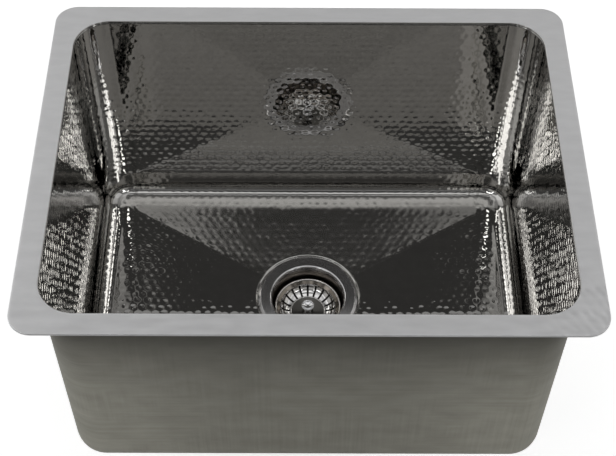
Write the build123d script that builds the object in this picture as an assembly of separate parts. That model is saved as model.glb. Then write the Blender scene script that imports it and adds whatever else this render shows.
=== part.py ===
from build123d import *
from math import cos, radians, sin, tan
import os

# Undermount kitchen sink with a basket strainer. Sizes are in millimetres.
# The origin is the centre of the bowl's mouth, in the plane of the rim's top face.
# +X runs along the sink, +Y goes to the back and +Z is up.

# Rim
rim_length = 540.0
rim_depth = 419.0
rim_width = 23.0
rim_thickness = 2.0
rim_corner_radius = 23.0
rim_edge_radius = 0.8

# Bowl
mouth_corner_radius = 36.0
sheet = 1.5
wall_height = 279.4
wall_draft = 0.75
floor_bend = 20.0
floor_fall = 6.0
landing_drop = 5.0
landing_margin = 1.85
drain_setback = 27.0

# Strainer cup
flange_width = 15.65
flange_thickness = 1.6
flange_edge = 0.5
flange_bevel = 2.7
flange_edge_radius = 1.0
putty_thickness = 0.8
putty_margin = 1.2
cup_bore_radius = 41.5
cup_wall = 1.9
cup_mouth_radius = 2.5
cup_depth = 43.0
cup_corner_radius = 5.0
hole_clearance = 1.05
outlet_radius = 19.5
seat_drop = 2.5
seat_width = 4.5
neck_wall = 2.0
neck_length = 6.0

# Cross and outlet tube under the cup
cross_thickness = 1.6
cross_rim_width = 3.0
cross_arm_width = 3.0
cross_arm_count = 4
cross_hub_wall = 3.5
cross_hub_height = 4.0
outlet_wall = 4.4
outlet_length = 25.5

# Seals and locknut under the floor
washer_clearance = 0.6
rubber_margin = 4.0
rubber_thickness = 3.0
fibre_margin = 5.0
fibre_thickness = 1.0
thread_clearance = 0.1
locknut_wall = 8.0
locknut_height = 10.0
lug_count = 6
lug_width = 12.0
lug_reach = 4.5

# Tailpiece and its coupling nut
tail_radius = 19.05
tail_wall = 1.2
tail_length = 101.6
tail_flange_margin = 0.8
tail_flange_thickness = 1.3
tail_washer_thickness = 1.6
tail_clearance = 0.7
coupling_wall = 4.6
coupling_lip = 2.5
coupling_height = 19.0
nut_chamfer = 1.0

# Basket
basket_clearance = 3.0
basket_sheet = 0.8
lip_bead_radius = 1.2
lip_depth = 18.0
shelf_width = 5.8
shelf_fall = 2.4
basket_fall = 7.9
hub_radius = 19.4
hub_bead_radius = 0.6
hub_dish = 1.0
hub_flat_radius = 6.5
slot_count = 20
slot_width = 2.4
slot_end_margin = 0.4

# Knob and post
knob_radius = 7.3
knob_height = 13.5
knob_head = 5.0
knob_neck_radius = 4.0
knob_top_rounding = 1.8
knob_under_rounding = 1.0
stud_radius = 2.2
stud_length = 8.0
fixed_clearance = 0.05
post_radius = 5.0
journal_radius = 3.5
running_clearance = 0.05
tip_radius = 3.0
tip_reach = 4.0
tip_play = 0.45
tip_rounding = 0.8
end_play = 0.2

# Stopper and its fastenings
seat_gap = 0.2
seal_thickness = 4.0
seal_overlap = 3.4
seal_rounding = 0.9
plate_thickness = 0.8
plate_margin = 6.0
stopper_washer_radius = 9.0
stopper_washer_thickness = 0.8
nut_across_flats = 11.0
nut_height = 3.5
clip_wire_radius = 0.45
clip_drop = 1.2
clip_opening = 60.0
clip_clearance = 0.1

# How far a cut runs past the faces that it opens
cut_past = 1.0

# Places that follow from the sizes
mouth_x = rim_length / 2 - rim_width
mouth_y = rim_depth / 2 - rim_width
floor_z = sheet - wall_height
landing_z = floor_z - landing_drop
flange_radius = cup_bore_radius + flange_width
landing_radius = flange_radius + landing_margin
flange_bottom = landing_z + putty_thickness
flange_top = flange_bottom + flange_thickness
cup_radius = cup_bore_radius + cup_wall
hole_radius = cup_radius + hole_clearance
cup_floor_z = flange_top - cup_depth
seat_z = cup_floor_z - seat_drop
neck_end = seat_z - neck_length
cross_hub_bottom = neck_end - cross_hub_height
cross_hole_radius = tip_radius + tip_play
outlet_top = neck_end - cross_thickness
outlet_end = outlet_top - outlet_length
outlet_outer_radius = outlet_radius + outlet_wall
landing_under = landing_z - sheet
tail_flange_radius = outlet_outer_radius - tail_flange_margin
tail_top = outlet_end - tail_washer_thickness
basket_radius = cup_bore_radius - basket_clearance
lip_z = flange_top - lip_depth - lip_bead_radius
shelf_radius = basket_radius - shelf_width
shelf_z = lip_z - shelf_fall
hub_z = shelf_z - basket_fall
hub_centre_z = hub_z - hub_dish
seal_bottom = seat_z + seat_gap
seal_radius = outlet_radius + seal_overlap
bushing_radius = journal_radius + running_clearance
post_shoulder = seal_bottom + seal_thickness + plate_thickness + end_play
nut_top = seal_bottom - stopper_washer_thickness - end_play
tip_end = cross_hub_bottom - tip_reach


def at_drain(shape):
    """Moves a piece made about the Z axis to the drain's axis."""
    return Pos(0, drain_setback, 0) * shape


def turned(*corners):
    """A solid of revolution. Each corner is (radius, height, rounding)."""
    points = [(radius, height) for radius, height, _ in corners]
    line = FilletPolyline(*points, radius=[rounding for *_, rounding in corners], close=True)
    return revolve(Plane.XZ * make_face(line), Axis.Z)


def ring(inner, outer, top, bottom):
    """A plain ring about the Z axis."""
    return turned((inner, bottom, 0), (outer, bottom, 0), (outer, top, 0), (inner, top, 0))


def rounded_plate(half_x, half_y, corner, top, thickness):
    """A flat plate with rounded corners, centred on the Z axis."""
    return Pos(0, 0, top) * extrude(RectangleRounded(2 * half_x, 2 * half_y, corner), -thickness)


def hexagon_nut(across_flats, hole, top, height):
    """A hexagonal nut with its outer corners turned off at both ends."""
    flat = across_flats / 2
    corner = flat / cos(radians(30))
    body = Pos(0, 0, top) * extrude(RegularPolygon(corner, 6), -height)
    blank = turned(
        (0, top, 0), (flat, top, 0), (corner, top - nut_chamfer, 0),
        (corner, top - height + nut_chamfer, 0), (flat, top - height, 0), (0, top - height, 0),
    )
    return (body & blank) - ring(0, hole, top + cut_past, top - height - cut_past)


# Bowl

def bowl_block(wall, top):
    """The bowl's tapered block with its bottom bend, grown outwards by wall."""
    height = top - floor_z + wall
    mouth = RectangleRounded(2 * (mouth_x + wall), 2 * (mouth_y + wall), mouth_corner_radius + wall)
    block = Pos(0, 0, top) * extrude(mouth, -height, taper=wall_draft)
    bottom = block.faces().sort_by(Axis.Z)[0]
    return fillet(bottom.edges(), floor_bend + wall)


def floor_funnel(drop):
    """The four shallow facets that fall from the floor's corners to the drain."""
    shrink = (floor_z + rim_thickness) * -tan(radians(wall_draft))
    bend_run = floor_bend * tan(radians((90 - wall_draft) / 2))
    corner_radius = mouth_corner_radius - shrink - bend_run
    inset = shrink + bend_run + corner_radius * (1 - cos(radians(45)))
    half_x = mouth_x - inset
    half_y = mouth_y - inset
    base = Pos(0, 0, floor_z - drop) * Rectangle(2 * half_x, 2 * half_y)
    apex = Vertex(0, drain_setback, floor_z - drop - floor_fall)
    funnel = loft([base.face(), apex], ruled=True)
    below = Box(rim_length, rim_depth, floor_fall, align=(Align.CENTER, Align.CENTER, Align.MAX))
    return funnel - Pos(0, 0, landing_z - drop) * below


def bowl_form(wall, top):
    """Everything inside the bowl's surface, grown outwards by wall."""
    landing = at_drain(ring(0, landing_radius + wall, floor_z - wall, landing_z - wall))
    return bowl_block(wall, top) + floor_funnel(wall) + landing


def make_sink_bowl():
    shell = bowl_form(sheet, -rim_thickness) - bowl_form(0, -rim_thickness)
    return shell - at_drain(ring(0, hole_radius, floor_z, landing_under - cut_past))


def make_rim_frame():
    plate = rounded_plate(rim_length / 2, rim_depth / 2, rim_corner_radius, 0, rim_thickness)
    plate -= rounded_plate(mouth_x, mouth_y, mouth_corner_radius, 0, rim_thickness)
    top = plate.faces().sort_by(Axis.Z)[-1]
    return fillet(top.edges(), rim_edge_radius)


# Strainer cup and what is fixed under it

def make_strainer_cup():
    seat_edge = outlet_radius + seat_width
    neck_outer = outlet_radius + neck_wall
    return turned(
        (flange_radius, flange_bottom, 0),
        (flange_radius, flange_bottom + flange_edge, 0),
        (flange_radius - flange_bevel, flange_top, flange_edge_radius),
        (cup_bore_radius, flange_top, cup_mouth_radius),
        (cup_bore_radius, cup_floor_z, cup_corner_radius),
        (seat_edge, seat_z, 0),
        (outlet_radius, seat_z, 0),
        (outlet_radius, neck_end, 0),
        (neck_outer, neck_end, 0),
        (neck_outer, seat_z - cup_wall, 0),
        (seat_edge, seat_z - cup_wall, 0),
        (cup_radius, cup_floor_z - cup_wall, cup_corner_radius + cup_wall),
        (cup_radius, flange_bottom, 0),
    )


def make_outlet_cross():
    rim = ring(outlet_radius, outlet_radius + cross_rim_width, neck_end, outlet_top)
    hub = ring(0, cross_hole_radius + cross_hub_wall, neck_end, cross_hub_bottom)
    reach = outlet_radius + cross_rim_width / 2
    arm = Pos(reach / 2, 0, (neck_end + outlet_top) / 2) * Box(reach, cross_arm_width, cross_thickness)
    arms = [Rot(0, 0, 360 / cross_arm_count * i) * arm for i in range(cross_arm_count)]
    hole = ring(0, cross_hole_radius, neck_end + cut_past, cross_hub_bottom - cut_past)
    return (rim + hub + arms) - hole


def make_outlet_tube():
    return ring(outlet_radius, outlet_outer_radius, outlet_top, outlet_end)


def make_putty_ring():
    return ring(hole_radius, flange_radius - putty_margin, flange_bottom, landing_z)


# Seals and locknut under the floor

washer_inner = cup_radius + washer_clearance
rubber_bottom = landing_under - rubber_thickness
fibre_bottom = rubber_bottom - fibre_thickness


def make_rubber_washer():
    return ring(washer_inner, landing_radius - rubber_margin, landing_under, rubber_bottom)


def make_fibre_ring():
    return ring(washer_inner, landing_radius - fibre_margin, rubber_bottom, fibre_bottom)


def make_locknut():
    outer = cup_radius + thread_clearance + locknut_wall
    height = locknut_height
    body = turned(
        (0, fibre_bottom, 0), (outer, fibre_bottom, 0), (outer, fibre_bottom - height + nut_chamfer, 0),
        (outer - nut_chamfer, fibre_bottom - height, 0), (0, fibre_bottom - height, 0),
    )
    lug = Pos(0, 0, fibre_bottom - height / 2) * Box(2 * (outer + lug_reach), lug_width, height)
    lugs = [Rot(0, 0, 360 / lug_count * i) * lug for i in range(lug_count // 2)]
    thread = cup_radius + thread_clearance
    hole = ring(0, thread, fibre_bottom + cut_past, fibre_bottom - height - cut_past)
    return body + lugs - hole


# Tailpiece

tail_bore = tail_radius - tail_wall
coupling_seat = tail_top - tail_flange_thickness
coupling_bottom = coupling_seat - coupling_lip


def make_tail_washer():
    return ring(tail_bore, tail_flange_radius, outlet_end, tail_top)


def make_tailpiece():
    tail_end = tail_top - tail_length
    return turned(
        (tail_bore, tail_top, 0), (tail_flange_radius, tail_top, 0),
        (tail_flange_radius, coupling_seat, 0), (tail_radius, coupling_seat, 0),
        (tail_radius, tail_end, 0), (tail_bore, tail_end, 0),
    )


def make_coupling_nut():
    thread = outlet_outer_radius + thread_clearance
    top = coupling_bottom + coupling_height
    nut = hexagon_nut(2 * (thread + coupling_wall), tail_radius + tail_clearance, top, coupling_height)
    return nut - ring(0, thread, top + cut_past, coupling_seat)


# Basket

def make_basket():
    slope = shelf_radius - hub_radius
    dish = (slope ** 2 + basket_fall ** 2) / (2 * basket_fall)
    turn = 90 - Vector(slope, dish - basket_fall).get_angle(Vector(1, 0))
    centre = Vector(hub_radius, hub_z + dish)

    def dish_point(radius, angle):
        return centre + Vector(radius * sin(radians(angle)), -radius * cos(radians(angle)))

    hole = stud_radius + fixed_clearance
    lip_radius = basket_radius - lip_bead_radius
    outer = dish + basket_sheet
    hub_under = hub_centre_z - basket_sheet
    with BuildLine() as section:
        Polyline(
            (hole, hub_under), (hole, hub_centre_z), (hub_flat_radius, hub_centre_z), (hub_radius, hub_z),
        )
        ThreePointArc(dish_point(dish, 0), dish_point(dish, turn / 2), dish_point(dish, turn))
        Polyline(
            dish_point(dish, turn), (lip_radius, lip_z + basket_sheet / 2),
            (lip_radius, lip_z - basket_sheet / 2), dish_point(outer, turn),
        )
        ThreePointArc(dish_point(outer, turn), dish_point(outer, turn / 2), dish_point(outer, 0))
        Polyline(dish_point(outer, 0), (hub_flat_radius, hub_under), (hole, hub_under))
    shell = revolve(Plane.XZ * make_face(section.line), Axis.Z)
    lip = Pos(0, 0, lip_z) * Torus(lip_radius, lip_bead_radius)
    bead = Pos(0, 0, hub_z) * Torus(hub_radius, hub_bead_radius)
    start = hub_radius + hub_bead_radius + slot_end_margin
    stop = shelf_radius - slot_end_margin
    slot = Pos((start + stop) / 2, 0, 0) * SlotOverall(stop - start, slot_width)
    cuts = Sketch() + [Rot(0, 0, 360 / slot_count * i) * slot for i in range(slot_count)]
    cut_bottom = hub_under - cut_past
    return shell + lip + bead - extrude(Pos(0, 0, cut_bottom) * cuts, shelf_z + cut_past - cut_bottom)


def make_basket_knob():
    top = hub_centre_z + knob_height
    neck_top = top - knob_head
    body = turned(
        (0, hub_centre_z, 0), (0, top, 0), (knob_radius, top, knob_top_rounding),
        (knob_radius, neck_top, knob_under_rounding), (knob_neck_radius, neck_top, knob_under_rounding),
        (knob_neck_radius, hub_centre_z, 0),
    )
    stud_end = hub_centre_z + stud_length + fixed_clearance
    return body - ring(0, stud_radius + fixed_clearance, stud_end, hub_centre_z - cut_past)


def make_basket_post():
    groove_z = cross_hub_bottom - clip_drop
    groove_radius = cross_hole_radius - clip_clearance - 2 * clip_wire_radius - fixed_clearance
    half = clip_wire_radius + fixed_clearance
    return turned(
        (0, hub_centre_z + stud_length, 0), (stud_radius, hub_centre_z + stud_length, 0),
        (stud_radius, hub_centre_z - basket_sheet, 0), (post_radius, hub_centre_z - basket_sheet, 0),
        (post_radius, post_shoulder, 0), (journal_radius, post_shoulder, 0),
        (journal_radius, nut_top, 0), (tip_radius, nut_top, 0),
        (tip_radius, groove_z + half, 0), (groove_radius, groove_z + half, 0),
        (groove_radius, groove_z - half, 0), (tip_radius, groove_z - half, 0),
        (tip_radius, tip_end, tip_rounding), (0, tip_end, 0),
    )


# Stopper

def make_stopper_seal():
    top = seal_bottom + seal_thickness
    return turned(
        (bushing_radius, seal_bottom, 0), (seal_radius, seal_bottom, seal_rounding),
        (seal_radius, top, seal_rounding), (bushing_radius, top, 0),
    )


def make_stopper_plate():
    bottom = seal_bottom + seal_thickness
    return ring(bushing_radius, seal_radius - plate_margin, bottom + plate_thickness, bottom)


def make_stopper_washer():
    return ring(bushing_radius, stopper_washer_radius, seal_bottom, seal_bottom - stopper_washer_thickness)


def make_post_nut():
    return hexagon_nut(nut_across_flats, tip_radius + fixed_clearance, nut_top, nut_height)


def make_post_clip():
    wire_path = cross_hole_radius - clip_clearance - clip_wire_radius
    wire = Plane.XZ * Pos(wire_path, 0, 0) * Circle(clip_wire_radius)
    clip = revolve(wire, Axis.Z, 360 - clip_opening)
    return Pos(0, 0, cross_hub_bottom - clip_drop) * clip


nodes = {
    "sink_bowl": make_sink_bowl(),
    "rim_frame": make_rim_frame(),
    "strainer_cup": at_drain(make_strainer_cup()),
    "outlet_cross": at_drain(make_outlet_cross()),
    "outlet_tube": at_drain(make_outlet_tube()),
    "putty_ring": at_drain(make_putty_ring()),
    "rubber_washer": at_drain(make_rubber_washer()),
    "fibre_ring": at_drain(make_fibre_ring()),
    "locknut": at_drain(make_locknut()),
    "tail_washer": at_drain(make_tail_washer()),
    "tailpiece": at_drain(make_tailpiece()),
    "coupling_nut": at_drain(make_coupling_nut()),
    "basket": at_drain(make_basket()),
    "basket_knob": at_drain(make_basket_knob()),
    "basket_post": at_drain(make_basket_post()),
    "stopper_seal": at_drain(make_stopper_seal()),
    "stopper_plate": at_drain(make_stopper_plate()),
    "stopper_washer": at_drain(make_stopper_washer()),
    "post_nut": at_drain(make_post_nut()),
    "post_clip": at_drain(make_post_clip()),
}

os.makedirs("parts", exist_ok=True)
for name, shape in nodes.items():
    export_step(shape, f"parts/{name}.step")
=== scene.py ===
import bpy
import numpy as np
from math import cos, exp, pi, radians, sin, tan
from mathutils import Matrix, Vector
from mathutils.kdtree import KDTree


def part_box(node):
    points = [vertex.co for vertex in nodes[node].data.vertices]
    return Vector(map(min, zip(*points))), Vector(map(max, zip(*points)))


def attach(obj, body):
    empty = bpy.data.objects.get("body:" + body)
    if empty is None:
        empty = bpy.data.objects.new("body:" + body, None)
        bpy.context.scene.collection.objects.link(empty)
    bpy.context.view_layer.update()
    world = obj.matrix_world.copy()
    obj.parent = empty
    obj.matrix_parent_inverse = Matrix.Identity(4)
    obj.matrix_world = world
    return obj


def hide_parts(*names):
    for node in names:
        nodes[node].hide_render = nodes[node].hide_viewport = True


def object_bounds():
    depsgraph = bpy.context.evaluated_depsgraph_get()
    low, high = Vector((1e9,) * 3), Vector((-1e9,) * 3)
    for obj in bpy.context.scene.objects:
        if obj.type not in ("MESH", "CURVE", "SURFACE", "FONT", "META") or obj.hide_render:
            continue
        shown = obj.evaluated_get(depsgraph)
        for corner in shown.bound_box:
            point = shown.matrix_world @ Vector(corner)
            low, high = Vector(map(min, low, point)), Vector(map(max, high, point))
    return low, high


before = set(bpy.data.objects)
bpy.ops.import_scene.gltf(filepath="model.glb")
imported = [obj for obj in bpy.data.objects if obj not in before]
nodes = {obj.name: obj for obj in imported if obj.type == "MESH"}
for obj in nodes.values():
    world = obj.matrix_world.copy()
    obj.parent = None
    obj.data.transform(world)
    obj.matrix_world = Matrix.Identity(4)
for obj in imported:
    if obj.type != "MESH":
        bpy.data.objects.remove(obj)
cad_box = [list(corner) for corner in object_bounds()]

# Sizes of the bowl and the rim, in metres. The rest is read from the frame.
SHEET = 0.0015
WALL_DRAFT = radians(0.75)
MOUTH_CORNER = 0.036
FLOOR_BEND = 0.020
FLOOR_FALL = 0.006
LANDING_DROP = 0.005
LANDING_MARGIN = 0.00185
LANDING_EDGE = 0.0006
HOLE_RADIUS = 0.04445
HUB_RADIUS = 0.0194
BASKET_SHELF_WIDTH = 0.0058
RIM_CORNER = 0.023
RIM_ROUNDING = 0.0008

# The bend from the wall to the floor: its tight radius, its wide one, and the slope between them
SIDE_BEND = (0.018, 0.023, radians(40))
BACK_BEND = (0.015, 0.090, radians(13))

# Hammer marks: small round dimples in rows, each of its own depth, with flat steel between them.
# Ranges are shares of the depth and the spread.
DENT_PITCH = 0.0100
ROW_PITCH = 0.0085
LEAST_PITCH = 0.68 * DENT_PITCH
DENT_SPREAD = 0.0018
SPREAD_RANGE = (0.92, 1.1)
DENT_DEPTH = 0.00013
DEPTH_RANGE = (0.5, 1.6)
DENT_JITTER = 0.0014
ROW_JITTER_SHARE = 0.6
DENT_FADE = 0.003
NEAREST_DENTS = 3

# They are fainter on the back facet of the floor and high on the back wall. The fades are shares
# of their depth, and the pairs say where a fade starts and where it is full.
BACK_FLOOR_FADE = 0.5
BACK_WALL_FADE = 0.55
ABOVE_FLOOR = (0.004, 0)
BEHIND_DRAIN = (-0.02, 0.01)
ABOVE_MOUTH = (-0.12, -0.07)
BEHIND_BACK_WALL = (-0.02, -0.01)

# The rim keeps faint marks, deeper in its front right corner.
RIM_DENT_DEPTH = 0.00004
RIM_CORNER_DEPTH = 0.0004
RIM_CORNER_REACH = 0.08
RIM_DEPTH_RANGE = (0.3, 1.7)

# Seeds of the random draws
BOWL_SEED = 7
RIM_SEED = 5
SPREAD_SEED = 11

# Spacing of the bowl's mesh. Its outer side is coarser, and takes every second point of a ring.
STEP = DENT_PITCH / 6
ROW_STEP = ROW_PITCH / 5
OUTER_SHARE = 2
OUTER_WALL_STEP = 0.006
OUTER_FLOOR_STEP = 0.008

# Lengths of the two parts of the bend, which set how many rings they get
BEND_LENGTHS = (0.024, 0.021)

# Numbers of steps: in the landing's edge, on the landing, down the profile that places the blows,
# and in the rounding of the rim
LANDING_EDGE_STEPS = 4
LANDING_STEPS = 3
PROFILE_STEPS = (40, 30, 20)
RIM_ROUNDING_STEPS = 4

rim_low, rim_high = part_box("rim_frame")
bowl_low, bowl_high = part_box("sink_bowl")
cup_low, cup_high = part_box("strainer_cup")
knob_low, knob_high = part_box("basket_knob")
post_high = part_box("basket_post")[1]
basket_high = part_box("basket")[1]

MOUTH_X = bowl_high.x - SHEET
MOUTH_Y = bowl_high.y - SHEET
BOWL_TOP = bowl_high.z
LANDING_Z = bowl_low.z + SHEET
FLOOR_Z = LANDING_Z + LANDING_DROP
DRAIN_Y = (cup_low.y + cup_high.y) / 2
SHELF_RADIUS = basket_high.x - BASKET_SHELF_WIDTH
LANDING_RADIUS = (cup_high.x - cup_low.x) / 2 + LANDING_MARGIN
BEND_Z = FLOOR_Z + FLOOR_BEND
BEND_INSET = (BOWL_TOP - BEND_Z) * tan(WALL_DRAFT) + FLOOR_BEND / cos(WALL_DRAFT)
RECT_INSET = BEND_INSET + (MOUTH_CORNER - BEND_INSET) * (1 - cos(pi / 4))

# Half sizes of the rectangle that the floor's facets fill
FLOOR_X = MOUTH_X - RECT_INSET
FLOOR_Y = MOUTH_Y - RECT_INSET


def rows(length, step):
    """An even number of steps along a length."""
    return 2 * round(length / step / 2)


def smooth(value, start=0.0, end=1.0):
    """0 up to start and 1 from end on, with a smooth change between them."""
    share = np.clip((value - start) / (end - start), 0, 1)
    return share * share * (3 - 2 * share)


# The bowl's shape

class Outline:
    """A rounded rectangle, as its corners' centres and an outward direction for each point."""

    def __init__(self, half_x, half_y, corner, arc_steps, side_steps):
        feet, ways = [], []
        x, y = half_x - corner, half_y - corner
        corners = [(x, y), (-x, y), (-x, -y), (x, -y)]
        for k, start in enumerate(corners):
            end = corners[(k + 1) % 4]
            turn = k * pi / 2
            angles = [turn + pi / 2 * i / arc_steps for i in range(arc_steps)]
            feet += [start] * arc_steps
            ways += [(cos(angle), sin(angle)) for angle in angles]
            steps = side_steps[k % 2]
            feet += [np.add(start, np.subtract(end, start) * i / steps) for i in range(steps)]
            ways += [(cos(turn + pi / 2), sin(turn + pi / 2))] * steps
        self.corner = corner
        self.feet = np.array(feet)
        self.ways = np.array(ways)
        self.count = len(feet)
        places = self.feet + corner * self.ways
        gaps = np.linalg.norm(np.roll(places, -1, 0) - places, axis=1)
        self.along = np.concatenate([[0], np.cumsum(gaps)])

    def ring(self, inset, z):
        """The outline drawn in by inset, at height z. Both may differ from point to point."""
        reach = self.corner - np.broadcast_to(inset, self.count)
        plan = self.feet + reach[:, None] * self.ways
        return np.column_stack([plan, np.broadcast_to(z, self.count)])

    def at(self, along, profiles, share):
        """The point at a length along the outline and a share of the way down the profiles.

        profiles are those of the middle of the sides and of the back, with their points mixed
        round the corners.
        """
        along = along % self.along[-1]
        feet = np.vstack([self.feet, self.feet[:1]])
        ways = np.vstack([self.ways, self.ways[:1]])
        foot = np.array([np.interp(along, self.along, feet[:, i]) for i in range(2)])
        way = np.array([np.interp(along, self.along, ways[:, i]) for i in range(2)])
        way /= np.linalg.norm(way)
        side, back = (
            [np.interp(share, profile[:, 2], profile[:, column]) for column in (0, 1)]
            for profile in profiles
        )
        inset, z = np.add(side, np.subtract(back, side) * way[1] ** 2)
        return np.array([*(foot + (self.corner - inset) * way), z])


ARC_STEPS = rows(MOUTH_CORNER * pi / 2, STEP)
SIDE_STEPS = [rows(2 * (half - MOUTH_CORNER), STEP) for half in (MOUTH_X, MOUTH_Y)]
mouth = Outline(MOUTH_X, MOUTH_Y, MOUTH_CORNER, ARC_STEPS, SIDE_STEPS)


def wall_profile(wall, counts, bend):
    """Rows of inset, height and share of the length, down the wall and round its bend.

    The bend is tight and then wide. wall grows the profile outwards, and counts are the steps down
    the wall and round the two parts of the bend.
    """
    tight, wide, change = bend
    steep = pi / 2 - WALL_DRAFT

    def out(slope):
        return np.array([-sin(slope), -cos(slope)])

    tight_z = FLOOR_Z + wide - (wide - tight) * cos(change)
    bend_z = tight_z - tight * cos(steep)
    centre = np.array([(BOWL_TOP - bend_z) * tan(WALL_DRAFT) + tight * sin(steep), tight_z])
    end = centre + (tight + wall) * out(steep)
    top = np.array([-wall / cos(WALL_DRAFT), BOWL_TOP])
    points = [top + (end - top) * i / counts[0] for i in range(counts[0])]
    slopes = np.linspace(steep, change, counts[1] + 1)[:-1]
    points += [centre + (tight + wall) * out(slope) for slope in slopes]
    centre = centre + (tight - wide) * out(change)
    slopes = np.linspace(change, 0, counts[2] + 1)
    points += [centre + (wide + wall) * out(slope) for slope in slopes]
    steps = np.linalg.norm(np.diff(points, axis=0), axis=1)
    return np.column_stack([points, np.concatenate([[0], np.cumsum(steps)]) / steps.sum()])


def facet_height(x, y):
    """The height of the floor's facets above a point of the plan."""
    back = FLOOR_Y - DRAIN_Y
    front = FLOOR_Y + DRAIN_Y
    share = np.maximum.reduce([np.abs(x) / FLOOR_X, (y - DRAIN_Y) / back, (DRAIN_Y - y) / front])
    return FLOOR_Z - FLOOR_FALL * (1 - np.minimum(share, 1))


def wall_rings(wall, step):
    """The rings of the wall and its bend, which runs out gently at front and back."""
    counts = [round(length / step) for length in (BOWL_TOP - BEND_Z, *BEND_LENGTHS)]
    side, back = (wall_profile(wall, counts, bend)[:, :2] for bend in (SIDE_BEND, BACK_BEND))
    share = mouth.ways[:, 1] ** 2
    rings = []
    for (side_inset, side_z), (back_inset, back_z) in zip(side, back):
        inset = side_inset + (back_inset - side_inset) * share
        ring = mouth.ring(inset, side_z + (back_z - side_z) * share)
        ring[:, 2] += facet_height(ring[:, 0], ring[:, 1]) - FLOOR_Z
        rings.append(ring)
    return rings


def floor_rings(edge, wall, step):
    """Rings from the floor's edge along straight lines to the drain hole."""
    drain = np.array([0, DRAIN_Y])
    reach = edge[:, :2] - drain
    far = np.linalg.norm(reach, axis=1)
    way = reach / far[:, None]
    landing = LANDING_RADIUS + wall
    rings = []
    count = round((far.mean() - landing) / step)
    for i in range(1, count + 1):
        radius = far + (landing + LANDING_EDGE - far) * i / count
        plan = drain + way * radius[:, None]
        rings.append(np.column_stack([plan, facet_height(plan[:, 0], plan[:, 1]) - wall]))
    brink = rings[-1][:, 2]
    for share in np.linspace(0, 1, LANDING_EDGE_STEPS + 1)[1:]:
        plan = drain + way * (landing + LANDING_EDGE * (1 - 2 * share))
        drop = (LANDING_Z - wall - brink) * smooth(share)
        rings.append(np.column_stack([plan, brink + drop]))
    for radius in np.linspace(landing - LANDING_EDGE, HOLE_RADIUS, LANDING_STEPS + 1)[1:]:
        plan = drain + way * radius
        rings.append(np.column_stack([plan, np.full(len(plan), LANDING_Z - wall)]))
    return rings


# Hammer marks

def apart(centres, least):
    """The centres in their order, without those closer than least to one that is kept."""
    kept = []
    cells = {}
    for centre in centres:
        cell = tuple(np.floor(centre / least).astype(int))
        near = [
            other
            for dx in (-1, 0, 1) for dy in (-1, 0, 1) for dz in (-1, 0, 1)
            for other in cells.get((cell[0] + dx, cell[1] + dy, cell[2] + dz), [])
        ]
        if all(np.linalg.norm(centre - other) > least for other in near):
            cells.setdefault(cell, []).append(centre)
            kept.append(centre)
    return kept


def stagger(k):
    """Every second row of blows starts half a pitch further on."""
    return k % 2 / 2


def plan_rows(half_x, half_y, random):
    """Staggered rows of blows over a rectangle, slightly out of line."""
    for k, y in enumerate(np.arange(-half_y, half_y, ROW_PITCH)):
        for x in np.arange(-half_x + stagger(k) * DENT_PITCH, half_x, DENT_PITCH):
            yield (x, y) + random.uniform(-1, 1, 2) * DENT_JITTER


def wall_rows(random):
    """Staggered rows of blows round the wall and its bend."""
    profiles = [wall_profile(0, PROFILE_STEPS, bend) for bend in (SIDE_BEND, BACK_BEND)]
    length = BOWL_TOP - FLOOR_Z + FLOOR_BEND
    count = round(mouth.along[-1] / DENT_PITCH)
    pitch = mouth.along[-1] / count
    for k in range(int(length / ROW_PITCH) + 1):
        for i in range(count):
            slip = random.uniform(-1, 1, 2) * DENT_JITTER
            down = (k * ROW_PITCH + ROW_JITTER_SHARE * slip[1]) / length
            yield mouth.at((i + stagger(k)) * pitch + slip[0], profiles, down)


def bowl_dents():
    """Centres and depths of the blows in the bowl."""
    random = np.random.RandomState(BOWL_SEED)
    centres = list(wall_rows(random))
    for x, y in plan_rows(FLOOR_X, FLOOR_Y, random):
        if np.hypot(x, y - DRAIN_Y) > LANDING_RADIUS:
            centres.append(np.array([x, y, facet_height(x, y)]))
    kept = apart(centres, LEAST_PITCH)
    _, y, z = np.array(kept).T
    on_back_floor = smooth(z - FLOOR_Z, *ABOVE_FLOOR) * smooth(y - DRAIN_Y, *BEHIND_DRAIN)
    high_at_back = smooth(z - BOWL_TOP, *ABOVE_MOUTH) * smooth(y - MOUTH_Y, *BEHIND_BACK_WALL)
    depths = DENT_DEPTH * random.uniform(*DEPTH_RANGE, len(kept))
    depths *= 1 - BACK_FLOOR_FADE * on_back_floor
    depths *= 1 - BACK_WALL_FADE * high_at_back
    return kept, depths


def rim_dents():
    """Centres and depths of the blows on the rim, stronger in its front right corner."""
    random = np.random.RandomState(RIM_SEED)
    plan = plan_rows(rim_high.x, rim_high.y, random)
    centres = [np.array([x, y, rim_high.z]) for x, y in plan]
    corner = np.array([rim_high.x, rim_low.y, rim_high.z])
    far = np.array([np.linalg.norm(centre - corner) for centre in centres])
    depths = RIM_DENT_DEPTH + RIM_CORNER_DEPTH * smooth(1 - far / RIM_CORNER_REACH)
    return centres, depths * random.uniform(*RIM_DEPTH_RANGE, len(centres))


def hammered(points, normals, centres, depths, fade):
    """Moves points against their normals into the round dimples about them."""
    random = np.random.RandomState(SPREAD_SEED)
    spreads = 2 * (DENT_SPREAD * random.uniform(*SPREAD_RANGE, len(centres))) ** 2
    tree = KDTree(len(centres))
    for i, centre in enumerate(centres):
        tree.insert(centre, i)
    tree.balance()
    sunk = np.array([
        sum(depths[i] * exp(-d * d / spreads[i]) for _, i, d in tree.find_n(point, NEAREST_DENTS))
        for point in points
    ])
    return points - normals * (sunk * fade)[:, None]


# Pieces

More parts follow.
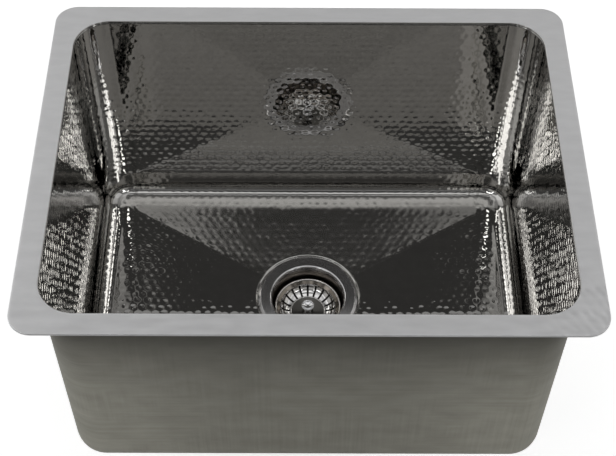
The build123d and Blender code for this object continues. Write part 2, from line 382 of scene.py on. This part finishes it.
def new_piece(name, vertices, faces, slots, materials):
    """A smooth shaded object, with slots as the number of each face's material."""
    mesh = bpy.data.meshes.new(name)
    mesh.from_pydata(vertices.tolist(), [], faces)
    mesh.polygons.foreach_set("material_index", slots)
    mesh.polygons.foreach_set("use_smooth", [True] * len(faces))
    for material in materials:
        mesh.materials.append(material)
    mesh.validate()
    mesh.update()
    piece = bpy.data.objects.new(name, mesh)
    bpy.context.scene.collection.objects.link(piece)
    return piece


def band_faces(start, rings, count, flip=False, closed=False):
    """Faces between rings of count points each, whose first point has the index start.

    closed also joins the last ring to the first, and flip turns the faces over.
    """
    faces = []
    for r in range(rings if closed else rings - 1):
        low, high = start + r * count, start + (r + 1) % rings * count
        for i in range(count):
            j = (i + 1) % count
            face = (low + i, low + j, high + j, high + i)
            faces.append(face[::-1] if flip else face)
    return faces


def grid_normals(rings, inward):
    """Normals of a grid of rings, towards the point inward."""
    grid = np.array(rings)
    around = np.roll(grid, -1, 1) - np.roll(grid, 1, 1)
    normals = np.cross(around, np.gradient(grid, axis=0))
    normals /= np.linalg.norm(normals, axis=2)[:, :, None]
    return normals if normals[0][0] @ (inward - grid[0][0]) > 0 else -normals


def make_bowl():
    """The bowl: a fine hammered inner side, a coarser outer one, and the edges between them."""
    inner = wall_rings(0, ROW_STEP)
    inner += floor_rings(inner[-1], 0, ROW_STEP)
    points = np.array(inner).reshape(-1, 3)
    normals = grid_normals(inner, np.array([0, 0, BOWL_TOP])).reshape(-1, 3)
    from_landing = np.hypot(points[:, 0], points[:, 1] - DRAIN_Y) - LANDING_RADIUS
    from_top = BOWL_TOP - points[:, 2]
    fade = smooth(from_top / DENT_FADE) * smooth(from_landing / DENT_FADE)
    inside = hammered(points, normals, *bowl_dents(), fade)
    outer = [ring[::OUTER_SHARE] for ring in wall_rings(SHEET, OUTER_WALL_STEP)]
    outer += floor_rings(outer[-1], SHEET, OUTER_FLOOR_STEP)
    vertices = np.vstack([inside, np.array(outer).reshape(-1, 3)])
    fine, coarse = mouth.count, mouth.count // OUTER_SHARE
    base = len(inner) * fine
    inner_faces = band_faces(0, len(inner), fine)
    faces = inner_faces + band_faces(base, len(outer), coarse, flip=True)
    top_edge = (0, base, False)
    hole_edge = (base - fine, base + (len(outer) - 1) * coarse, True)
    for inner_start, outer_start, flip in (top_edge, hole_edge):
        for i in range(coarse):
            edge = [inner_start + (OUTER_SHARE * i + k) % fine for k in range(OUTER_SHARE + 1)]
            face = [outer_start + i, outer_start + (i + 1) % coarse] + edge[::-1]
            faces.append(tuple(face[::-1] if flip else face))
    slots = [0] * len(inner_faces) + [1] * (len(faces) - len(inner_faces))
    return new_piece("hammered_bowl", vertices, faces, slots, [polished, outside])


def make_rim():
    """The flat frame round the mouth, with rounded top edges and a polished inner one."""
    outer = Outline(rim_high.x, rim_high.y, RIM_CORNER, ARC_STEPS, SIDE_STEPS)
    low, high = rim_low.z, rim_high.z
    round_off = [
        (RIM_ROUNDING * (1 - cos(turn)), high - RIM_ROUNDING * (1 - sin(turn)))
        for turn in np.linspace(0, pi / 2, RIM_ROUNDING_STEPS + 1)
    ]
    rings = [mouth.ring(0, low)] + [mouth.ring(-inset, z) for inset, z in round_off]
    near, far = rings[-1], outer.ring(RIM_ROUNDING, high)
    steps = round((rim_high.x - MOUTH_X) / STEP)
    rings += [near + (far - near) * i / steps for i in range(1, steps)]
    rings += [outer.ring(inset, z) for inset, z in reversed(round_off)] + [outer.ring(0, low)]
    points = np.array(rings).reshape(-1, 3)
    rounding_error = 1e-6
    flat = points[:, 2] > high - rounding_error
    up = np.array([[0, 0, 1]])
    points[flat] = hammered(points[flat], up, *rim_dents(), np.ones(flat.sum()))
    faces = band_faces(0, len(rings), mouth.count, flip=True, closed=True)
    inner_edge = mouth.count * len(round_off)
    slots = [1] * inner_edge + [0] * (len(faces) - inner_edge)
    return new_piece("ground_rim", points, faces, slots, [satin, polished])


def lathe(name, profile, material, steps=64):
    """A solid turned about the drain's axis from (radius, height) pairs, both ends on the axis."""
    inner = [(radius, z) for radius, z in profile if radius > 0]
    angles = [2 * pi * i / steps for i in range(steps)]
    vertices = [(r * cos(a), DRAIN_Y + r * sin(a), z) for r, z in inner for a in angles]
    faces = band_faces(0, len(inner), steps)
    first, last = len(vertices), len(vertices) + 1
    vertices += [(0, DRAIN_Y, profile[0][1]), (0, DRAIN_Y, profile[-1][1])]
    end = (len(inner) - 1) * steps
    for i in range(steps):
        j = (i + 1) % steps
        faces.append((first, j, i))
        faces.append((last, end + i, end + j))
    return new_piece(name, np.array(vertices), faces, [0] * len(faces), [material])


def arc(centre_r, centre_z, radius, start, end, steps):
    """Points of a profile round a centre, from one angle to another in degrees."""
    angles = [radians(start + (end - start) * i / steps) for i in range(steps + 1)]
    return [(centre_r + radius * cos(a), centre_z + radius * sin(a)) for a in angles]


def make_knob():
    """A tapered grip with a dished top, on a neck with the hole for the post's stud."""
    top, bottom = knob_high.z, knob_low.z
    radius = knob_high.x
    neck, head, taper = 0.0040, 0.0050, 0.0011
    edge, dish = 0.0010, 0.0012
    hole, clearance = 0.00225, 0.00005
    hole_end = post_high.z + clearance
    dish_radius = radius - 2 * edge
    sphere = (dish_radius ** 2 + dish ** 2) / (2 * dish)
    half_turn = np.degrees(np.arcsin(dish_radius / sphere))
    profile = [(0, hole_end), (hole, hole_end), (hole, bottom), (neck, bottom)]
    profile += arc(neck + edge, top - head - edge, edge, 180, 90, 5)
    profile += arc(radius - taper - edge, top - head + edge, edge, -90, -10, 5)
    profile += arc(radius - edge, top - edge, edge, 0, 150, 8)
    profile += arc(0, top - dish + sphere, sphere, half_turn - 90, -90, 8)[:-1]
    profile.append((0, top - dish))
    return lathe("dished_knob", profile, chrome)


# Materials

FINE_RELIEF = 0.000002
NOISE_RANGE = (0.3, 0.7)


def new_material(name):
    material = bpy.data.materials.new(name)
    material.use_nodes = True
    tree = material.node_tree
    return material, tree, tree.nodes["Principled BSDF"]


def feed(tree, socket, value):
    """Sets a socket to a number, or links another socket to it."""
    if isinstance(value, (int, float)):
        socket.default_value = value
    else:
        tree.links.new(value, socket)


def maths(tree, operation, first, second=0.0):
    node = tree.nodes.new("ShaderNodeMath")
    node.operation = operation
    feed(tree, node.inputs[0], first)
    feed(tree, node.inputs[1], second)
    return node.outputs[0]


def ramp(tree, value, start, end, low=0.0, high=1.0, smooth_ends=False):
    """low where the value is start, high where it is end."""
    node = tree.nodes.new("ShaderNodeMapRange")
    node.interpolation_type = "SMOOTHSTEP" if smooth_ends else "LINEAR"
    if start > end:
        start, end, low, high = end, start, high, low
    limits = {"From Min": start, "From Max": end, "To Min": low, "To Max": high}
    for name, number in limits.items():
        node.inputs[name].default_value = number
    tree.links.new(value, node.inputs["Value"])
    return node.outputs["Result"]


def soft(tree, value, start, end):
    """0 where the value is start, 1 where it is end, with a smooth change between them."""
    return ramp(tree, value, start, end, smooth_ends=True)


def mixed(tree, share, first, second):
    """first where the share is 0, second where it is 1, for numbers or for colours."""
    node = tree.nodes.new("ShaderNodeMix")
    colours = isinstance(first, tuple) or isinstance(second, tuple)
    node.data_type = "RGBA" if colours else "FLOAT"
    kind = "Color" if colours else "Float"
    sockets = {socket.identifier: socket for socket in node.inputs}
    feed(tree, sockets["Factor_Float"], share)
    for side, value in (("A", first), ("B", second)):
        if isinstance(value, tuple):
            sockets[f"{side}_{kind}"].default_value = (*value, 1)
        else:
            feed(tree, sockets[f"{side}_{kind}"], value)
    return next(socket for socket in node.outputs if socket.identifier == f"Result_{kind}")


def place(tree, scale=(1, 1, 1)):
    """The point's place in metres, times a scale for each axis."""
    mapping = tree.nodes.new("ShaderNodeMapping")
    mapping.inputs["Scale"].default_value = scale
    point = tree.nodes.new("ShaderNodeTexCoord").outputs["Object"]
    tree.links.new(point, mapping.inputs["Vector"])
    return mapping.outputs["Vector"]


def along_axis(tree, axis):
    """The point's place along one axis, in metres."""
    split = tree.nodes.new("ShaderNodeSeparateXYZ")
    tree.links.new(place(tree), split.inputs[0])
    return split.outputs[axis]


def vector(tree, operation, first, second=None):
    node = tree.nodes.new("ShaderNodeVectorMath")
    node.operation = operation
    for socket, value in zip(node.inputs, (first, second)):
        if isinstance(value, tuple):
            socket.default_value = value
        elif value is not None:
            tree.links.new(value, socket)
    return node.outputs["Value" if operation == "LENGTH" else "Vector"]


def from_axis(tree):
    """The level vector from the drain's axis to the point."""
    reach = vector(tree, "SUBTRACT", place(tree), (0, DRAIN_Y, 0))
    return vector(tree, "MULTIPLY", reach, (1, 1, 0))


def noise(tree, scale, stretch=(1, 1, 1), detail=3.0):
    node = tree.nodes.new("ShaderNodeTexNoise")
    node.inputs["Scale"].default_value = scale
    node.inputs["Detail"].default_value = detail
    tree.links.new(place(tree, stretch), node.inputs["Vector"])
    return node.outputs["Fac"]


def spread(tree, grain, low=0.0, high=1.0):
    """A noise, most of which lies in NOISE_RANGE, spread from low to high."""
    return ramp(tree, grain, *NOISE_RANGE, low, high)


def bump(tree, shader, relief, depth=FINE_RELIEF):
    node = tree.nodes.new("ShaderNodeBump")
    node.inputs["Strength"].default_value = 1
    node.inputs["Distance"].default_value = depth
    tree.links.new(relief, node.inputs["Height"])
    tree.links.new(node.outputs["Normal"], shader.inputs["Normal"])


def surface(name, colours, roughness, metallic=1.0, grain=300.0, stretch=(1, 1, 1),
            relief=FINE_RELIEF):
    """A material whose colour and roughness vary with one grain."""
    material, tree, shader = new_material(name)
    shader.inputs["Metallic"].default_value = metallic
    value = noise(tree, grain, stretch)
    tree.links.new(mixed(tree, spread(tree, value), *colours), shader.inputs["Base Color"])
    tree.links.new(spread(tree, value, *roughness), shader.inputs["Roughness"])
    bump(tree, shader, value, relief)
    return material


def hammered_steel():
    """Polished steel, a little duller on the back facet of the floor."""
    darker, lighter = (0.50, 0.492, 0.477), (0.54, 0.532, 0.516)
    smoothest, roughest, duller = 0.012, 0.03, 0.07
    floor_from, floor_to = FLOOR_Z + 0.004, FLOOR_Z + 0.001
    crease_width = 0.1
    material, tree, shader = new_material("polished_hammered_steel")
    shader.inputs["Metallic"].default_value = 1
    grain = noise(tree, 90.0)
    steel = mixed(tree, spread(tree, grain), darker, lighter)
    tree.links.new(steel, shader.inputs["Base Color"])
    floor = soft(tree, along_axis(tree, "Z"), floor_from, floor_to)
    behind = maths(tree, "SUBTRACT", along_axis(tree, "Y"), DRAIN_Y)
    deep = maths(tree, "DIVIDE", behind, FLOOR_Y - DRAIN_Y)
    beside = maths(tree, "ABSOLUTE", maths(tree, "DIVIDE", along_axis(tree, "X"), FLOOR_X))
    facet = ramp(tree, maths(tree, "SUBTRACT", deep, beside), 0.0, crease_width)
    share = maths(tree, "MULTIPLY", floor, facet)
    extra = maths(tree, "MULTIPLY", share, duller)
    rough = maths(tree, "ADD", spread(tree, grain, smoothest, roughest), extra)
    tree.links.new(rough, shader.inputs["Roughness"])
    bump(tree, shader, grain)
    return material


def brushed_outside():
    """Unpolished steel, brushed level or upright in patches, with painted shade in the middle of
    the front and back, and painted shade under the rim mixed with the weld's heat tint.
    """
    darker, lighter = (0.338, 0.329, 0.278), (0.492, 0.481, 0.418)
    # Painted shade: the first colour darkens the middle of the front and back, the second darkens
    # the steel under the rim
    middle_shade_colour, rim_shade_and_tint_colour = (0.06, 0.06, 0.05), (0.012, 0.011, 0.009)
    along, across = 7, 330
    streak_share, cloud_share = 0.55, 0.45
    # Painted shade in the middle: its share, and the distances from the middle where it starts and
    # where it is full
    middle_shade_share, middle_shade_from, middle_shade_to = 0.30, 0.25, 0.06
    # Painted shade under the rim, mixed with the weld's heat tint: where it ends below, and where
    # it is full near the rim
    shade_and_tint_end, shade_and_tint_start = BOWL_TOP - 0.24, BOWL_TOP - 0.012
    material, tree, shader = new_material("brushed_outside_steel")
    shader.inputs["Metallic"].default_value = 0.85
    shader.inputs["Specular IOR Level"].default_value = 0.1
    level = noise(tree, 1.0, (along, along, across), detail=5.0)
    upright = noise(tree, 1.0, (across, across, along), detail=5.0)
    patches = noise(tree, 11.0, detail=2.0)
    streaks = mixed(tree, soft(tree, patches, 0.4, 0.6), upright, level)
    cloud = noise(tree, 26.0, (1, 1, 2), detail=4.0)
    streak_tone = maths(tree, "MULTIPLY", streaks, streak_share)
    cloud_tone = maths(tree, "MULTIPLY", cloud, cloud_share)
    shade = ramp(tree, maths(tree, "ADD", streak_tone, cloud_tone), 0.3, 0.65)
    steel = mixed(tree, shade, darker, lighter)
    # Painted shade: the middle of the front and back is darker
    from_middle = maths(tree, "ABSOLUTE", along_axis(tree, "X"))
    middle = ramp(tree, from_middle, middle_shade_from, middle_shade_to, 0.0, middle_shade_share, smooth_ends=True)
    middle_shaded = mixed(tree, middle, steel, middle_shade_colour)
    # Painted shade of the rim's overhang, mixed with the weld's heat tint, darkest just under the
    # rim
    near_rim = ramp(tree, along_axis(tree, "Z"), shade_and_tint_end, shade_and_tint_start)
    shaded_and_tinted = mixed(tree, maths(tree, "POWER", near_rim, 3.0), middle_shaded, rim_shade_and_tint_colour)
    tree.links.new(shaded_and_tinted, shader.inputs["Base Color"])
    tree.links.new(spread(tree, streaks, 0.42, 0.56), shader.inputs["Roughness"])
    bump(tree, shader, streaks, 0.00002)
    return material


def strainer_steel():
    """Bright on the flange, browner and duller down in the cup, with painted shade at its bottom.
    """
    flange_colour, cup_colour = (0.64, 0.635, 0.64), (0.36, 0.33, 0.295)
    # Painted shade: near black at the bottom of the cup
    cup_bottom_shade_colour = (0.06, 0.055, 0.05)
    cup_from, cup_to = cup_high.z - 0.002, cup_high.z - 0.008
    bottom_from, bottom_to = cup_high.z - 0.016, cup_high.z - 0.024
    cup_roughness = 0.28
    material, tree, shader = new_material("strainer_steel")
    shader.inputs["Metallic"].default_value = 1
    brushing = noise(tree, 900.0)
    height = along_axis(tree, "Z")
    cup = soft(tree, height, cup_from, cup_to)
    bottom = soft(tree, height, bottom_from, bottom_to)
    wall = mixed(tree, cup, flange_colour, cup_colour)
    # Painted shade darkens the cup's bottom
    tree.links.new(mixed(tree, bottom, wall, cup_bottom_shade_colour), shader.inputs["Base Color"])
    rough = mixed(tree, cup, spread(tree, brushing, 0.11, 0.17), cup_roughness)
    tree.links.new(rough, shader.inputs["Roughness"])
    bump(tree, shader, brushing)
    return material


def pressed_basket():
    """Pressed steel with painted light: painted highlights on the fins and lip, painted dark
    reflections on the hub and shelf, and painted shade on the slots' cut walls.
    """
    # Painted light: the hub and shelf colours are painted dark reflections, the fin and lip colours
    # are painted highlights
    hub_shade_colour, fin_highlight_colour = (0.19, 0.185, 0.175), (0.86, 0.85, 0.84)
    shelf_shade_colour, lip_highlight_colour = (0.30, 0.27, 0.235), (0.82, 0.80, 0.78)
    # Painted shade on the slots' cut walls
    slot_shade_colour = (0.03, 0.03, 0.03)
    hub_end = HUB_RADIUS - 0.0008
    shelf_from, shelf_to = SHELF_RADIUS - 0.0006, SHELF_RADIUS + 0.0002
    lip_from, lip_to = basket_high.x - 0.0026, basket_high.x - 0.0022
    material, tree, shader = new_material("pressed_basket_steel")
    shader.inputs["Metallic"].default_value = 1
    grain = noise(tree, 500.0)
    radius = vector(tree, "LENGTH", from_axis(tree))
    fins = soft(tree, radius, hub_end, HUB_RADIUS)
    shelf = soft(tree, radius, shelf_from, shelf_to)
    lip = soft(tree, radius, lip_from, lip_to)
    # Painted highlights on the fins and lip, painted dark reflections on the hub and shelf
    colour = mixed(tree, fins, hub_shade_colour, fin_highlight_colour)
    colour = mixed(tree, shelf, colour, shelf_shade_colour)
    colour = mixed(tree, lip, colour, lip_highlight_colour)
    normal = tree.nodes.new("ShaderNodeTexCoord").outputs["Normal"]
    turned = vector(tree, "CROSS_PRODUCT", vector(tree, "NORMALIZE", from_axis(tree)), normal)
    split = tree.nodes.new("ShaderNodeSeparateXYZ")
    tree.links.new(turned, split.inputs[0])
    cut = ramp(tree, maths(tree, "ABSOLUTE", split.outputs["Z"]), 0.35, 0.6)
    # Painted shade: the slots' cut walls are near black
    tree.links.new(mixed(tree, cut, colour, slot_shade_colour), shader.inputs["Base Color"])
    tree.links.new(spread(tree, grain, 0.08, 0.14), shader.inputs["Roughness"])
    bump(tree, shader, grain)
    return material


polished = hammered_steel()
outside = brushed_outside()
strainer = strainer_steel()
basket_steel = pressed_basket()

# The plain finishes: two colours and a range of roughness, which vary with one grain
satin = surface(
    "satin_rim_steel", ((0.69, 0.69, 0.695), (0.74, 0.74, 0.745)), (0.28, 0.36),
    grain=120.0, stretch=(0.3, 1, 1), relief=0.000003,
)
chrome = surface(
    "bright_chrome", ((0.84, 0.85, 0.87), (0.90, 0.90, 0.92)), (0.03, 0.06), grain=200.0,
)
brass = surface("plated_brass", ((0.62, 0.60, 0.56), (0.68, 0.66, 0.61)), (0.2, 0.3))
zinc = surface(
    "cast_zinc", ((0.45, 0.46, 0.48), (0.52, 0.53, 0.55)), (0.4, 0.55),
    grain=700.0, relief=0.00004,
)
rubber = surface(
    "black_rubber", ((0.025, 0.025, 0.025), (0.05, 0.05, 0.05)), (0.6, 0.8),
    metallic=0.0, grain=900.0,
)
fibre = surface(
    "pressed_fibre", ((0.55, 0.42, 0.25), (0.68, 0.54, 0.34)), (0.7, 0.9),
    metallic=0.0, grain=1200.0,
)
putty = surface(
    "grey_putty", ((0.45, 0.43, 0.39), (0.55, 0.53, 0.48)), (0.5, 0.7),
    metallic=0.0, grain=200.0,
)
white_plastic = surface(
    "white_plastic", ((0.78, 0.78, 0.76), (0.84, 0.84, 0.82)), (0.35, 0.5), metallic=0.0,
)

finishes = {
    "strainer_cup": strainer,
    "putty_ring": putty,
    "rubber_washer": rubber,
    "fibre_ring": fibre,
    "locknut": zinc,
    "outlet_cross": strainer,
    "outlet_tube": brass,
    "tail_washer": white_plastic,
    "tailpiece": chrome,
    "coupling_nut": chrome,
    "basket": basket_steel,
    "basket_post": strainer,
    "stopper_seal": rubber,
    "stopper_plate": strainer,
    "stopper_washer": strainer,
    "post_nut": brass,
    "post_clip": strainer,
}
for node, material in finishes.items():
    nodes[node].data.materials.clear()
    nodes[node].data.materials.append(material)

for piece, body, node, slot in (
    (make_bowl(), "root", "sink_bowl", "hammered_steel"),
    (make_rim(), "root", "rim_frame", "satin_steel"),
    (make_knob(), "strainer_basket", "basket_knob", "chrome"),
):
    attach(piece, body)
    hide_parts(node)


# Stage

# The back of the room: its level at each elevation in degrees
BACK_LEVELS = ((16, 1.7), (24, 0.16), (34, 0.16), (40, 0.72), (58, 0.345), (76, 0.85))

# Patches of the sky, the later ones over the earlier ones: azimuth from and to, elevation from
# and to, level, and the width of the soft edge. Angles are in degrees. Azimuth 0 is the front,
# and 90 the right.
PATCHES = (
    # the sides of the room, and the unlit front with its lower corners
    (-150, -66, -20, 49, 0.95, 12),
    (66, 150, -20, 49, 0.72, 12),
    (-64, 64, -20, 61, 0.085, 5),
    (-62, -30, -20, 34, 0.3, 4),
    (30, 62, -20, 34, 0.2, 4),
    # the ceiling in front
    (-90, 90, 76, 100, 0.18, 3),
    (-24, 38, 67, 73, 1.0, 5),
    (-66, -42, 58, 68, 0.42, 3),
    (50, 70, 58, 68, 0.42, 3),
    (-19, -10, 58, 63, 0.6, 4),
    (12, 21, 58, 63, 0.45, 4),
    # soft boxes on the left, one of them tall
    (-66, -31, 42.5, 48, 0.6, 2),
    (-55, -41, 41.5, 46, 3.5, 1.2),
    (-38, -32, 44, 51, 3.0, 1.2),
    (-50, -46, 22, 44, 3.0, 1.0),
    (-25, -20.5, 43, 46, 5.0, 0.8),
    (-36, -26.5, 49.2, 53, 4.6, 0.8),
    (-40, -35, 39.5, 43.5, 1.0, 1.0),
    # soft boxes on the right, one of them tall
    (35, 68, 42.5, 48, 0.25, 2),
    (47.5, 53, 42.5, 46, 3.4, 1.0),
    (38, 42, 42, 46, 1.3, 1.0),
    (42, 46, 22, 44, 4.0, 1.0),
    (20, 25.5, 43, 46, 4.8, 0.8),
    (26, 35, 49.2, 52.5, 5.2, 0.8),
    (34.5, 39.5, 39.5, 43.5, 1.2, 1.0),
    # a faint one in the middle of the front
    (-12, 12, 43.6, 45.9, 0.45, 0.5),
)


def camera_ray(tree):
    return tree.nodes.new("ShaderNodeLightPath").outputs["Is Camera Ray"]


def make_floor():
    """A pale floor that takes the shadow, and looks white to the camera elsewhere."""
    size = 6.0
    gap = 0.0002
    glow = 0.6
    level = cad_box[0][2] - gap
    corners = [
        (-size, -size, level), (size, -size, level), (size, size, level), (-size, size, level),
    ]
    mesh = bpy.data.meshes.new("studio_floor")
    mesh.from_pydata(corners, [], [(0, 1, 2, 3)])
    floor = bpy.data.objects.new("studio_floor", mesh)
    bpy.context.scene.collection.objects.link(floor)
    material, tree, shader = new_material("pale_floor")
    shader.inputs["Base Color"].default_value = (0.8, 0.8, 0.8, 1)
    shader.inputs["Roughness"].default_value = 0.9
    shader.inputs["Specular IOR Level"].default_value = 0
    shader.inputs["Emission Color"].default_value = (1, 1, 1, 1)
    seen = maths(tree, "MULTIPLY", camera_ray(tree), glow)
    tree.links.new(seen, shader.inputs["Emission Strength"])
    mesh.materials.append(material)


def window(tree, azimuth, elevation, left, right, bottom, top, edge):
    """1 inside a patch of the sky, falling to 0 over the edge round it."""
    share = 1.0
    for angle, low, high in ((azimuth, left, right), (elevation, bottom, top)):
        share = maths(tree, "MULTIPLY", share, soft(tree, angle, low - edge, low))
        share = maths(tree, "MULTIPLY", share, soft(tree, angle, high + edge, high))
    return share


def make_world():
    """White for the camera. The object sees a grey room, dark in front, with soft boxes in it."""
    degree = 180 / pi
    world = bpy.data.worlds.new("studio")
    bpy.context.scene.world = world
    world.use_nodes = True
    tree = world.node_tree
    tree.nodes.clear()
    split = tree.nodes.new("ShaderNodeSeparateXYZ")
    way = tree.nodes.new("ShaderNodeTexCoord").outputs["Generated"]
    tree.links.new(way, split.inputs[0])
    front = maths(tree, "MULTIPLY", split.outputs["Y"], -1.0)
    turn = maths(tree, "ARCTAN2", split.outputs["X"], front)
    azimuth = maths(tree, "MULTIPLY", turn, degree)
    elevation = maths(tree, "MULTIPLY", maths(tree, "ARCSINE", split.outputs["Z"]), degree)
    level = BACK_LEVELS[0][1]
    for (low, _), (high, high_level) in zip(BACK_LEVELS, BACK_LEVELS[1:]):
        level = mixed(tree, soft(tree, elevation, low, high), level, high_level)
    for left, right, bottom, top, strength, edge in PATCHES:
        share = window(tree, azimuth, elevation, left, right, bottom, top, edge)
        level = mixed(tree, share, level, strength)
    grey = tree.nodes.new("ShaderNodeBackground")
    white = tree.nodes.new("ShaderNodeBackground")
    for background in (grey, white):
        background.inputs["Color"].default_value = (1, 1, 1, 1)
    tree.links.new(level, grey.inputs["Strength"])
    choose = tree.nodes.new("ShaderNodeMixShader")
    for socket, source in zip(choose.inputs, (camera_ray(tree), grey.outputs[0], white.outputs[0])):
        tree.links.new(source, socket)
    out = tree.nodes.new("ShaderNodeOutputWorld")
    tree.links.new(choose.outputs[0], out.inputs["Surface"])


def make_camera():
    """A camera at the photograph's viewing angle."""
    focal_pixels, photo_width = 1348.4, 616
    stand = (-0.0068, -0.8625, 1.0017)
    pitch, yaw, roll = radians(52.35), radians(-0.40), radians(0.53)
    camera = bpy.data.cameras.new("camera")
    camera.sensor_width = 36
    camera.lens = camera.sensor_width * focal_pixels / photo_width
    holder = bpy.data.objects.new("camera", camera)
    bpy.context.scene.collection.objects.link(holder)
    turn = Matrix.Rotation(yaw, 4, "Z") @ Matrix.Rotation(pi / 2 - pitch, 4, "X")
    turn = turn @ Matrix.Rotation(roll, 4, "Z")
    holder.matrix_world = Matrix.Translation(stand) @ turn
    bpy.context.scene.camera = holder


make_floor()
make_world()
make_camera()
bpy.context.scene.view_settings.view_transform = "Standard"
